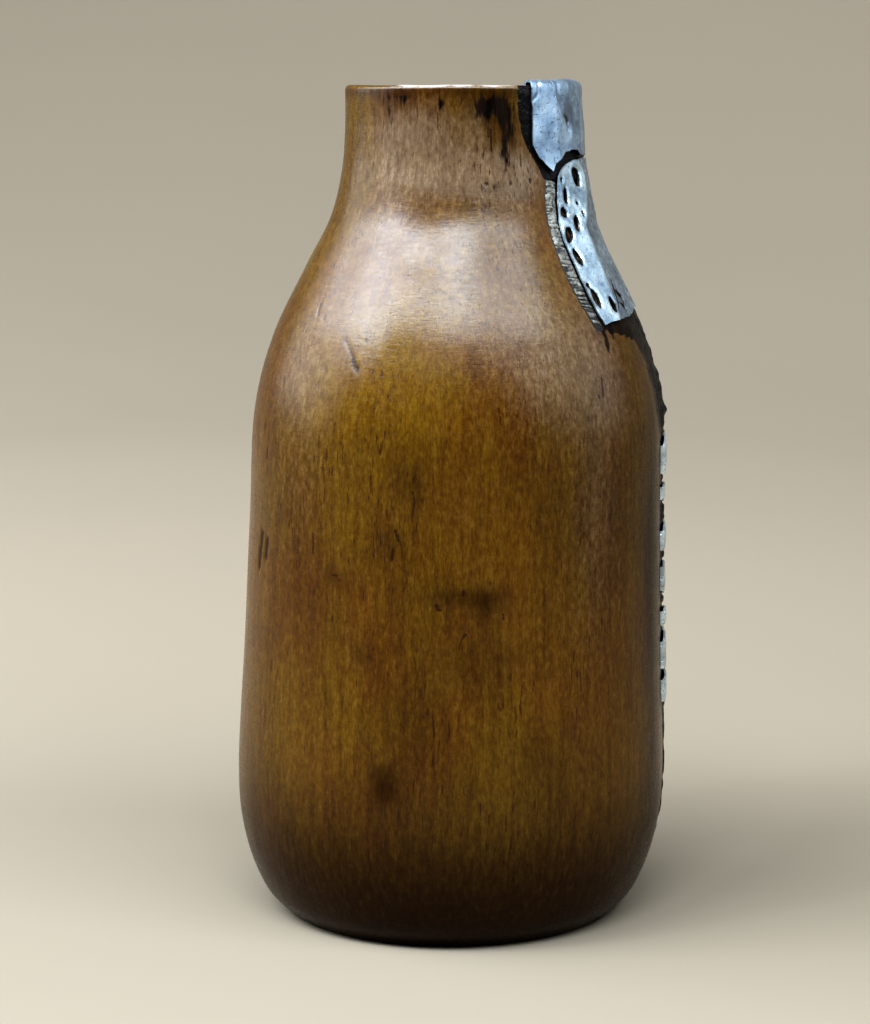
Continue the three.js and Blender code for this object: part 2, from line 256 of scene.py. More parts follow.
class Nodes:
    """Short ways to add and link shader nodes."""

    def __init__(self, name):
        self.material = bpy.data.materials.new(name)
        self.material.use_nodes = True
        self.tree = self.material.node_tree
        self.shader = self.tree.nodes["Principled BSDF"]
        self.place = self.add("ShaderNodeTexCoord").outputs["Object"]

    def add(self, kind, **settings):
        node = self.tree.nodes.new(kind)
        for key, value in settings.items():
            setattr(node, key, value)
        return node

    def link(self, source, target):
        if isinstance(source, (int, float, tuple)):
            target.default_value = source
        else:
            self.tree.links.new(source, target)

    def math(self, operation, a, b):
        node = self.add("ShaderNodeMath", operation=operation)
        for socket, value in zip(node.inputs, (a, b)):
            self.link(value, socket)
        return node.outputs[0]

    def times(self, a, b):
        return self.math("MULTIPLY", a, b)

    def plus(self, a, b):
        return self.math("ADD", a, b)

    def minus(self, a, b):
        return self.math("SUBTRACT", a, b)

    def noise(self, scale, detail=4.0, rough=0.55, stretch=(1, 1, 1), shift=(0, 0, 0)):
        """Noise from about 0 to 1. scale is in lumps per metre, and stretch multiplies it."""
        mapping = self.add("ShaderNodeMapping")
        self.link(self.place, mapping.inputs["Vector"])
        mapping.inputs["Scale"].default_value = stretch
        mapping.inputs["Location"].default_value = shift
        noise = self.add("ShaderNodeTexNoise")
        self.link(mapping.outputs[0], noise.inputs["Vector"])
        noise.inputs["Scale"].default_value = scale
        noise.inputs["Detail"].default_value = detail
        noise.inputs["Roughness"].default_value = rough
        return noise.outputs["Fac"]

    def range(self, value, low, high, to_low=0.0, to_high=1.0):
        node = self.add("ShaderNodeMapRange", interpolation_type="SMOOTHSTEP")
        self.link(value, node.inputs["Value"])
        node.inputs["From Min"].default_value = low
        node.inputs["From Max"].default_value = high
        node.inputs["To Min"].default_value = to_low
        node.inputs["To Max"].default_value = to_high
        return node.outputs[0]

    def attribute(self, name):
        return self.add("ShaderNodeAttribute", attribute_name=name).outputs["Fac"]

    def ramp(self, value, stops):
        node = self.add("ShaderNodeValToRGB")
        self.link(value, node.inputs[0])
        elements = node.color_ramp.elements
        while len(elements) < len(stops):
            elements.new(0.5)
        for element, (position, colour) in zip(elements, stops):
            element.position = position
            element.color = (*colour, 1)
        return node.outputs[0]

    def mix(self, factor, a, b, blend="MIX"):
        node = self.add("ShaderNodeMix", data_type="RGBA", blend_type=blend)
        self.link(factor, node.inputs["Factor"])
        for value, socket in ((a, node.inputs["A"]), (b, node.inputs["B"])):
            self.link((*value, 1) if isinstance(value, tuple) else value, socket)
        return node.outputs["Result"]

    def bump(self, height, distance, strength):
        node = self.add("ShaderNodeBump")
        self.link(height, node.inputs["Height"])
        node.inputs["Distance"].default_value = distance
        node.inputs["Strength"].default_value = strength
        return node.outputs[0]

    def finish(self, colour, roughness, normal=None, metallic=0.0, **constants):
        self.link(colour, self.shader.inputs["Base Color"])
        self.link(roughness, self.shader.inputs["Roughness"])
        self.link(metallic, self.shader.inputs["Metallic"])
        if normal is not None:
            self.link(normal, self.shader.inputs["Normal"])
        for name, value in constants.items():
            self.shader.inputs[name.replace("_", " ")].default_value = value
        return self.material


# ---------------------------------------------------------------- materials

def wood_material():
    n = Nodes("polished_wood")
    broad = n.noise(22, 3, 0.5, (1, 1, 0.5))
    hue = n.noise(34, 3, 0.6, (1, 1, 0.5), shift=(9, 2, 5))
    streak = n.noise(480, 4, 0.65, (1, 1, 0.09))
    fine = n.noise(2100, 3, 0.7, (1, 1, 0.2), shift=(3, 1, 0))
    mottle = n.noise(760, 4, 0.7, (1, 1, 0.5), shift=(7, 3, 2))
    tone = n.plus(n.times(streak, 0.24), n.times(broad, 0.24))
    tone = n.plus(tone, n.times(fine, 0.26))
    tone = n.plus(tone, n.times(mottle, 0.26))
    golden = n.ramp(tone, [
        (0.4, (0.034, 0.014, 0.0004)), (0.5, (0.068, 0.032, 0.0008)), (0.6, (0.108, 0.058, 0.003)),
    ])
    russet = n.ramp(tone, [
        (0.4, (0.032, 0.010, 0.0004)), (0.5, (0.064, 0.0255, 0.0008)), (0.6, (0.102, 0.047, 0.003)),
    ])
    colour = n.mix(n.range(hue, 0.4, 0.62), golden, russet)
    # Paler, greyer wood where the pale attribute says: dry wood on the neck, and painted sheen on
    # the body.
    dry_wood_and_sheen = n.ramp(tone, [
        (0.38, (0.060, 0.036, 0.019)), (0.5, (0.118, 0.078, 0.045)), (0.62, (0.190, 0.138, 0.090)),
    ])
    pale = n.plus(n.attribute("pale"), n.times(n.minus(mottle, 0.5), 0.9))
    colour = n.mix(n.range(pale, 0.0, 1.0, 0.0, 0.9), colour, dry_wood_and_sheen)
    ragged = n.noise(700, 4, 0.65, (1, 1, 0.2), shift=(2, 8, 4))
    # Darker wood where the dark attribute says: darker patches, and painted shade towards the foot,
    # down the right side and inside.
    dark = n.times(n.attribute("dark"), n.plus(0.5, ragged))
    colour = n.mix(n.range(dark, 0.0, 1.0, 0.0, 0.9), colour, (0.015, 0.0048, 0.0004))
    crowd = n.range(n.noise(45, 2, 0.5, (1, 1, 0.6), shift=(8, 8, 3)), 0.4, 0.65, -0.03, 0.07)
    slit = n.noise(1300, 2, 0.5, (1, 1, 0.11), shift=(0, 5, 9))
    pore = n.range(n.plus(slit, crowd), 0.675, 0.74)
    colour = n.mix(n.times(pore, 0.72), colour, (0.018, 0.0048, 0.0008))
    cut = n.range(n.attribute("cut"), 0.5, 0.85)
    colour = n.mix(n.times(cut, 0.85), colour, (0.014, 0.0038, 0.0010))
    torn = n.times(n.minus(ragged, 0.5), 2.4)
    black = n.range(n.plus(n.attribute("black"), torn), 0.35, 0.95)
    soot = n.ramp(streak, [(0.4, (0.002, 0.0016, 0.0018)), (0.62, (0.012, 0.007, 0.005))])
    colour = n.mix(n.times(black, 0.95), colour, soot)
    # A painted highlight: the glint on the rim's top edge, where the pale attribute goes past 1.4.
    rim_glint = n.range(n.plus(n.attribute("pale"), n.times(mottle, 0.5)), 1.4, 2.1, 0.0, 0.85)
    colour = n.mix(rim_glint, colour, (0.32, 0.285, 0.26))
    wear = n.noise(60, 5, 0.65, (1, 1, 0.6), shift=(1, 1, 8))
    scuff = n.noise(520, 4, 0.7, (0.4, 0.4, 2.2), shift=(6, 6, 6))
    roughness = n.plus(n.times(wear, 0.26), n.times(scuff, 0.2))
    roughness = n.plus(roughness, n.times(n.attribute("pale"), 0.04))
    roughness = n.plus(roughness, 0.05)
    height = n.plus(n.times(fine, 0.4), n.times(streak, 0.4))
    height = n.plus(height, n.times(mottle, 0.4))
    height = n.plus(height, n.times(scuff, 0.45))
    height = n.minus(height, n.times(pore, 0.2))
    dull = n.math("MAXIMUM", black, n.range(dark, 0.2, 1.0, 0.0, 0.75))
    shine = n.minus(0.31, n.times(dull, 0.25))
    n.link(shine, n.shader.inputs["Specular IOR Level"])
    return n.finish(colour, roughness, n.bump(height, 0.00014, 0.6))


def aluminium_material(name, deep, middle, bright):
    """Clouded sheet metal in three shades, darkened where a mesh's attributes say, by grime and
    tarnish and by painted shade where the sheet turns away from the light.
    """
    n = Nodes(name)
    cloud = n.noise(130, 5, 0.65)
    grain = n.noise(1500, 3, 0.6)
    pits = n.range(n.noise(1000, 3, 0.6, shift=(4, 4, 1)), 0.58, 0.66)
    ragged = n.minus(n.noise(600, 4, 0.65, shift=(1, 2, 9)), 0.5)
    grime_and_shade = n.range(n.plus(n.attribute("grime_and_shade"), n.times(ragged, 0.9)), 0.42, 0.75)
    tarnish_and_shade = n.range(n.plus(n.attribute("tarnish_and_shade"), n.times(ragged, 1.2)), 0.25, 0.95)
    colour = n.ramp(cloud, [(0.34, deep), (0.5, middle), (0.66, bright)])
    colour = n.mix(n.times(n.range(grain, 0.45, 0.7), 0.3), colour, (0.22, 0.27, 0.34))
    colour = n.mix(n.times(tarnish_and_shade, 0.85), colour, (0.11, 0.115, 0.13))
    colour = n.mix(n.times(pits, 0.75), colour, (0.03, 0.03, 0.034))
    colour = n.mix(grime_and_shade, colour, (0.010, 0.008, 0.007))
    roughness = n.plus(n.times(cloud, 0.3), n.times(tarnish_and_shade, 0.15))
    metallic = n.minus(0.85, n.times(n.math("MAXIMUM", grime_and_shade, pits), 0.8))
    height = n.plus(n.times(grain, 0.25), n.times(pits, -0.8))
    normal = n.bump(height, 0.00012, 0.6)
    return n.finish(colour, n.plus(roughness, 0.2), normal, metallic)


def pitch_material():
    n = Nodes("black_pitch")
    cloud = n.noise(180, 4, 0.6)
    dust = n.range(n.noise(500, 4, 0.6, shift=(5, 0, 2)), 0.55, 0.75)
    colour = n.ramp(cloud, [(0.35, (0.0018, 0.0016, 0.0018)), (0.7, (0.006, 0.0048, 0.0042))])
    colour = n.mix(n.times(dust, 0.35), colour, (0.045, 0.036, 0.030))
    roughness = n.plus(n.times(cloud, 0.3), n.times(dust, 0.4))
    height = n.plus(n.noise(900, 4, 0.6), n.noise(260, 3, 0.6, (1, 1, 0.3), shift=(2, 2, 7)))
    normal = n.bump(height, 0.0005, 0.8)
    return n.finish(colour, n.plus(roughness, 0.2), normal, Specular_IOR_Level=0.16)


def putty_material():
    n = Nodes("dried_putty")
    cloud = n.noise(420, 4, 0.65)
    speck = n.range(n.noise(1300, 2, 0.6, shift=(6, 1, 3)), 0.5, 0.62)
    colour = n.ramp(cloud, [
        (0.34, (0.020, 0.018, 0.014)), (0.5, (0.095, 0.092, 0.074)), (0.66, (0.22, 0.22, 0.19)),
    ])
    colour = n.mix(n.times(speck, 0.4), colour, (0.26, 0.26, 0.235))
    # Painted shade in the putty's crevices and thin edges, from the mesh's attribute.
    colour = n.mix(n.range(n.attribute("hollow_shade"), 0.3, 0.9), colour, (0.009, 0.0075, 0.006))
    normal = n.bump(n.noise(1100, 4, 0.7), 0.0003, 0.9)
    return n.finish(colour, n.plus(0.5, n.times(cloud, 0.35)), normal)


WOOD = wood_material()
ALUMINIUM = aluminium_material(
    "old_aluminium", (0.165, 0.225, 0.295), (0.29, 0.38, 0.47), (0.42, 0.52, 0.60),
)
BRIGHT_ALUMINIUM = aluminium_material(
    "bright_aluminium", (0.26, 0.35, 0.43), (0.47, 0.58, 0.65), (0.64, 0.75, 0.80),
)
STAPLE_METAL = aluminium_material(
    "staple_aluminium", (0.34, 0.37, 0.38), (0.56, 0.61, 0.60), (0.78, 0.84, 0.84),
)
PITCH = pitch_material()
PUTTY = putty_material()


# ---------------------------------------------------------------- the wooden vessel

def from_crack(azimuth, z):
    """Distance round the wall from the crack, in millimetres, and less than 0 in front of it."""
    across = (azimuth - crack_azimuth(z) + 180) % 360 - 180
    return across * np.pi / 180 * outer_radius(z)


def vessel_profile():
    """(radius, height) points from the base's centre, up the outside, and down the inside.

    Also how many of them count as outside, which ends just past the middle of the rim.
    """
    top = HEIGHT - RIM_ROUNDING
    outside_z = np.concatenate([
        np.linspace(0.7, 30, 30), np.linspace(31.4, 162, 94), np.linspace(162.9, 182, 22),
        np.linspace(183, top, 66),
    ])
    outside = [(r, z) for r, z in zip(outer_radius(outside_z), outside_z)]
    base = [(0, 0), (20, 0), (38, 0), (47, 0), (49.3, 0.05), (50.5, 0.25)]
    turns = np.radians(np.linspace(0, 90, 6)[1:])
    inner = NECK_RADIUS - RIM_WALL
    rim = [(NECK_RADIUS - RIM_ROUNDING * (1 - math.cos(a)), top + RIM_ROUNDING * math.sin(a))
           for a in turns]
    rim += [(NECK_RADIUS - RIM_WALL / 2, HEIGHT)]
    rim += [(inner + RIM_ROUNDING * (1 - math.sin(a)), top + RIM_ROUNDING * math.cos(a))
            for a in turns]
    inside_z = np.linspace(top - 2, 27, 34)
    inside = [(r, z) for r, z in zip(np.interp(inside_z, INNER_Z, INNER_R), inside_z)]
    bowl = [(50.5, 22), (42, BASE_WALL + 2), (26, BASE_WALL), (0, BASE_WALL - 0.6)]
    half_rim = len(rim) // 2 + 2
    return np.array(base + outside + rim + inside + bowl), len(base) + len(outside) + half_rim


# Marks on the front: azimuth and height of both ends, width, and strength.
CUTS = [
    (-36.1, 178.9, -31.6, 173.4, 0.5, 1), (-32.2, 172.6, -29.6, 169.8, 0.6, 1),
    (-31.8, 173.8, -29.8, 171.0, 0.4, 1), (-66, 119.5, -67.5, 109.5, 1.9, 1),
    (-62.5, 117.8, -63, 112.5, 1.7, 1), (-52.6, 188.5, -51.4, 185.2, 0.6, 0.9),
    (-48.6, 184.6, -47.6, 183.8, 0.6, 0.7), (-59.2, 166.2, -58.8, 163.6, 0.7, 0.8),
    (-66.5, 152.6, -66.4, 150.2, 0.7, 0.9), (-64.2, 146.0, -64.0, 142.2, 0.8, 0.9),
    (44.6, 167.4, 44.2, 162.2, 0.6, 0.9), (42.6, 162.6, 42.8, 161.4, 0.8, 0.8),
    (62.2, 152.8, 62.8, 148.4, 0.5, 0.8), (-41.4, 122.6, -40.9, 116.2, 0.6, 0.8),
    (-16.2, 126.0, -15.2, 122.6, 0.8, 0.9), (-16.6, 120.8, -16.9, 116.8, 0.6, 0.9),
    (-18.7, 132.2, -18.4, 128.2, 0.3, 0.7), (-13.3, 142.8, -13.4, 140.2, 0.3, 0.8),
    (-12.4, 139.6, -12.3, 136.8, 0.3, 0.75), (-11.4, 141.4, -11.2, 139.0, 0.4, 0.85),
    (-11.5, 137.4, -11.2, 134.2, 0.4, 0.85), (-10.2, 138.2, -10.0, 136.2, 0.3, 0.8),
    (-9.0, 135.8, -8.9, 133.8, 0.3, 0.75), (-7.6, 139.4, -7.4, 137.4, 0.3, 0.75),
    (6.3, 115.0, 6.6, 110.2, 0.3, 0.7), (-4.8, 104.0, -4.0, 103.2, 1.5, 0.75),
    (2.2, 109.0, 2.0, 107.4, 0.8, 0.72), (12.6, 101.6, 12.9, 100.2, 0.5, 0.85),
    (2.9, 96.2, 2.1, 95.0, 0.9, 0.74), (1.5, 93.6, 1.3, 91.2, 0.3, 0.7),
    (19.8, 127.4, 20.1, 124.6, 0.3, 0.8), (-34.0, 111.6, -31.8, 110.4, 1.2, 0.7),
    (-19.8, 164.2, -19.4, 163.2, 0.5, 0.8), (14.3, 238.6, 14.6, 232.4, 0.35, 0.9),
    (11.8, 223.3, 11.9, 223.0, 1.0, 0.9), (23.6, 223.6, 23.7, 223.4, 0.9, 0.9),
    (34.4, 224.2, 34.5, 223.6, 1.0, 0.8), (12.0, 222.4, 30, 221.7, 0.35, 0.45),
]
# Soft dark areas: azimuth, height, half width, half height, and strength. The tall one at azimuth
# 70 is painted shade down the right side, near the outline.
SHADES = [
    (0, 107, 13, 3.4, 0.42), (8, 104.5, 7, 5, 0.42), (-17.2, 52, 4.2, 5.5, 0.6),
    (-25, 89, 3.5, 4, 0.4), (-33, 111, 4, 3, 0.35), (8, 87, 11, 12, 0.36), (-12, 72, 9, 14, 0.3),
    (-12, 139, 6, 8, 0.4), (-17, 122, 6, 6, 0.36), (24, 60, 9, 10, 0.22), (2, 150, 16, 16, 0.2),
    (-40, 95, 10, 14, 0.18), (16, 196, 14, 5, 0.2), (-4, 221.5, 16, 2.4, 0.3),
    (20, 218, 10, 5, 0.2), (52, 140, 8, 30, 0.3), (70, 110, 9, 70, 0.9), (22, 237, 5, 9, 0.6),
    (14, 244, 8, 5, 0.5), (-34, 246, 6, 4, 0.4),
]
# Black stains of the same form.
STAINS = [
    (15, 245.4, 5.0, 2.8, 1.0), (20.5, 243, 2.6, 4.4, 0.9), (8.4, 243.5, 1.6, 3.6, 0.7),
    (21.6, 236, 1.7, 6.5, 0.85), (22.8, 229.5, 1.1, 3.4, 0.75), (-37.6, 244, 1.5, 3.2, 0.75),
    (-29.8, 246.8, 1.6, 1.6, 0.75), (-9.6, 246, 1.7, 1.9, 0.8), (-33, 248, 7, 1.0, 0.55),
    (50.4, 178, 1.3, 3.6, 1.1), (54.5, 180, 1.2, 2.4, 0.9), (60, 181, 2.5, 1.6, 0.8),
    (57.5, 177, 0.6, 3.4, 0.6), (26, 240, 1.2, 7, 0.5), (12.5, 241, 1.0, 4.5, 0.6),
]
# Paler wood, of the same form: dry wood on the neck, and painted sheen on the shoulder and sides,
# where the polished wood mirrors the bright room.
PALES = [
    (-22, 237, 15, 9, 1.0), (-8, 226, 24, 6, 0.75), (6, 225, 12, 6, 0.85), (26, 224, 8, 9, 0.6),
    (-30, 214, 14, 12, 0.2), (24, 188, 20, 16, 0.15), (22, 166, 11, 14, 0.3),
    (0, 206, 26, 8, 0.15), (46, 166, 12, 22, 0.3), (-48, 150, 12, 30, 0.22),
    (-50, 172, 10, 14, 0.2), (40, 128, 9, 34, 0.32), (34, 172, 18, 16, 0.3),
    (14, 226, 12, 6, 0.35), (8, 240, 4, 8, 0.35),
]


def spot(azimuth, z, row):
    """A soft-edged oval. row has its azimuth, height, half width, half height and strength."""
    at, height, half_width, half_height, strength = row
    across = ((azimuth - at + 180) % 360 - 180) * np.pi / 180 * outer_radius(z)
    return strength * np.exp(-(across / half_width) ** 2 - ((z - height) / half_height) ** 2)


def spots(azimuth, z, rows):
    return np.sum([spot(azimuth, z, row) for row in rows], axis=0)


def cut_depth(azimuth, z, row):
    """How strongly a cut marks each point, from 0 to 1."""
    a0, z0, a1, z1, width, strength = row
    scale = np.pi / 180 * outer_radius(z)
    x, y = (azimuth - a0) * scale, z - z0
    dx, dy = (a1 - a0) * scale, z1 - z0
    along = np.clip((x * dx + y * dy) / (dx * dx + dy * dy), 0, 1)
    distance = np.hypot(x - along * dx, y - along * dy)
    return strength ** 0.5 * smooth(distance, width * 0.5 + 0.85, width * 0.5 - 0.25)


def pitch_front(azimuth, z):
    """1 on the wood that the pitch has soaked, under and beside the patches, on both sides."""
    folded = crack_azimuth(z) - np.abs((azimuth - crack_azimuth(z) + 180) % 360 - 180)
    edge = np.interp(
        z,
        [146, 151, 160, 170, 176.5, 179, 180.6, 182, 224, 228, 231, 234, 238, 246, HEIGHT],
        [78, 76.5, 74.6, 72.4, 68.4, 60, 50, 46.8, 43.6, 39, 36.6, 33, 30.2, 28.6, 28.4],
    )
    return smooth(folded, edge - 1.0, edge + 1.6) * smooth(z, 144, 152)


# The front is meshed more finely than the rest. All three are in degrees.
SEEN_HALF = 72
SEEN_STEP = 0.54
REST_STEP = 2.2


def vessel():
    profile, outside_rows = vessel_profile()
    seen = np.arange(-SEEN_HALF, SEEN_HALF, SEEN_STEP)
    rest = np.arange(SEEN_HALF, 360 - SEEN_HALF, REST_STEP)
    azimuth = np.concatenate([seen, rest])[None, :]
    columns = azimuth.shape[1]
    radius = profile[:, 0][:, None] + 0 * azimuth
    z = profile[:, 1][:, None] + 0 * azimuth
    azimuth = azimuth + 0 * z
    outside = (np.arange(len(profile)) < outside_rows)[:, None] + 0.0 * azimuth
    points = on_wall(azimuth, z, radius)
    step = np.gradient(profile, axis=0)
    out = np.stack([step[:, 1], -step[:, 0]], -1)
    out = out / np.linalg.norm(out, axis=1, keepdims=True)
    angle = np.radians(azimuth)
    sideways, upward = out[:, :1], out[:, 1:]
    direction = np.stack(
        [sideways * np.sin(angle), -sideways * np.cos(angle), upward + 0 * angle], -1)
    wave = 0.2 * lumps(points, (34, 34, 50), 1) + 0.07 * lumps(points, (11, 11, 30), 2)
    wave = wave + 0.03 * lumps(points, (3.5, 3.5, 22), 3)
    wave = wave + 0.2 * smooth(z, HEIGHT - 4, HEIGHT) * lumps(points, (7, 7, 40), 4)
    cuts = np.max([cut_depth(azimuth, z, row) for row in CUTS], axis=0) * outside
    depth = np.max([row[4] * cut_depth(azimuth, z, row) ** 3 for row in CUTS], axis=0) * outside
    aside = np.abs(from_crack(azimuth, z))
    groove = smooth(aside, 1.5, 0.7) * smooth(z, CRACK_FOOT - 2, CRACK_FOOT + 3)
    shift = wave * smooth(z, 1.5, 8) - 0.28 * np.minimum(depth, 1.4) - 1.4 * groove * outside
    points = (points + direction * shift[..., None]).reshape(-1, 3)
    quads = grid_faces(len(profile), columns, closed_columns=True)
    last = (len(profile) - 1) * columns
    quads = quads[(quads[:, 0] >= columns) & (quads[:, 3] < last)]
    faces = [tuple(int(i) for i in q) for q in quads]
    for c in range(columns):
        n = (c + 1) % columns
        faces.append((0, columns + n, columns + c))
        faces.append((last, last - columns + c, last - columns + n))
    piece = make_piece("vessel", points, faces, WOOD, "vessel_body")
    shade = spots(azimuth, z, SHADES)
    below_rim = 0.5 * smooth(z, HEIGHT - 6, HEIGHT - 2) * smooth(z, HEIGHT - 0.6, HEIGHT - 1.4)
    # Painted shade: the wood grows darker towards the foot and over the lower belly.
    foot = 0.68 * smooth(z, 62, 8) + 0.15 * smooth(z, 80, 50) + 0.08 * smooth(z, 150, 110)
    # The last term paints the inside dark: painted shade in the hollow.
    dark = foot + shade + below_rim + 0.9 * (1 - outside)
    black = spots(azimuth, z, STAINS)
    reach = np.interp(z, [CRACK_FOOT, 55, 66, 140, 150], [5, 9, 15, 16, 12])
    beside = smooth(aside, reach + 3, reach - 3) * smooth(z, CRACK_FOOT + 4, CRACK_FOOT + 30)
    soaked = pitch_front(azimuth, z)
    sheltered = (smooth(azimuth, 48, 52) * smooth(azimuth, 130, 124)
                 * smooth(z, 184, 187) * smooth(z, 226, 223))
    black = np.maximum(black, np.maximum(beside, (1.6 - 0.8 * sheltered) * soaked)) * outside
    pale = spots(azimuth, z, PALES) * outside
    # A painted highlight: a pale glint along the top edge of the rim, at the front only.
    rim_glint_band = smooth(z, HEIGHT - 1.0, HEIGHT - 0.4) * smooth(np.abs(azimuth + 4), 40, 24)
    rim_glint_band = rim_glint_band * (0.85 + 0.25 * lumps(points, (2.5, 2.5, 9), 5).reshape(z.shape))
    pale = pale + 1.9 * rim_glint_band * outside
    pale = pale + sheltered
    pale = np.clip(pale, 0, np.where(rim_glint_band > 0.1, 1.9, 1))
    add_attribute(piece, "pale", pale.reshape(-1))
    add_attribute(piece, "dark", np.clip(dark, 0, 1).reshape(-1))
    add_attribute(piece, "black", np.clip(black, 0, 1.6).reshape(-1))
    add_attribute(piece, "cut", np.clip(cuts, 0, 1).reshape(-1))


# ---------------------------------------------------------------- aluminium patches

SHARP = math.radians(50)  # metal edges that turn by more than this are crisp
NECK_ARC = 0.62  # millimetres to a degree round the neck


def chords(azimuth, z, lines):
    """Radius on flat facets between upright lines, each an (azimuth, lift) pair."""
    wall = outer_radius(z)
    radius = wall + np.where(azimuth < lines[0][0], lines[0][1], lines[-1][1])
    for (a0, lift0), (a1, lift1) in zip(lines, lines[1:]):
        r0, r1 = wall + lift0, wall + lift1
        here, rest, whole = (np.sin(np.radians(a)) for a in (azimuth - a0, a1 - azimuth, a1 - a0))
        facet = r0 * r1 * whole / (r0 * here + r1 * rest + 1e-9)
        radius = np.where((azimuth >= a0) & (azimuth <= a1), facet, radius)
    return radius


def shoulder_inside(azimuth, z):
    """Radius of the shoulder patch's inner face: flat facets that meet at creases."""
    crack = crack_azimuth(z)
    crease = np.interp(z, *zip(*CREASE))
    front = np.interp(z, *zip(*SHOULDER_FRONT))
    at_crack = np.interp(z, [182, 208, 214, 219, 224, 230], [0.3, 0.3, 0.8, 1.3, 1.8, 2.1])
    at_crease = np.interp(z, [182, 188, 205, 214, 224, 230], [0.8, 1.3, 1.7, 2.1, 2.4, 2.2])
    at_edge = np.interp(z, [182, 206, 215, 225], [0.3, 0.45, 0.9, 1.2])
    lines = [
        (front, at_edge), (crease, at_crease), (crack, at_crack + 0.4),
        (2 * crack - crease, at_crease), (2 * crack - front, at_edge),
    ]
    return np.maximum(chords(azimuth, z, lines), outer_radius(z) + 0.25)


def rim_lift(azimuth, low, high, z):
    """Height of the rim patch above the wood. low and high give it at the foot and at the rim."""
    offset = np.abs(azimuth - RIM_PATCH_CENTRE)
    at_foot = np.interp(offset, [0, 16, 30, 41.4], low)
    at_rim = np.interp(offset, [0, 16, 30, 41.4], high)
    return at_foot + (at_rim - at_foot) * smooth(z, FOLD_FOOT - 12, FOLD_FOOT)


# Where the rim patch's facets meet: azimuth, and how far each meeting line stands out.
RIM_FACETS = [
    (35.6, 0), (50.5, 0.25), (61, 0.05), (71, 0.3), (84, 0.1), (97, 0.25), (108, 0.1), (118.4, 0),
]


def rim_inside(azimuth, z):
    """Radius of the rim patch's inner face, beaten into broad facets."""
    lines = []
    for at, extra in RIM_FACETS:
        lift = rim_lift(at + 0 * z, (2.2, 2.0, 1.4, 0.7), (1.4, 1.3, 0.8, 0.5), z)
        lines.append((at + 0.8 * np.sin(z / 5 + at), lift + extra))
    return chords(azimuth, z, lines)


def dents(points, depth, seed):
    """Small hammer dents and ripples in sheet metal."""
    return depth * (lumps(points, 4.5, seed) + 0.5 * lumps(points, 1.7, seed + 1))


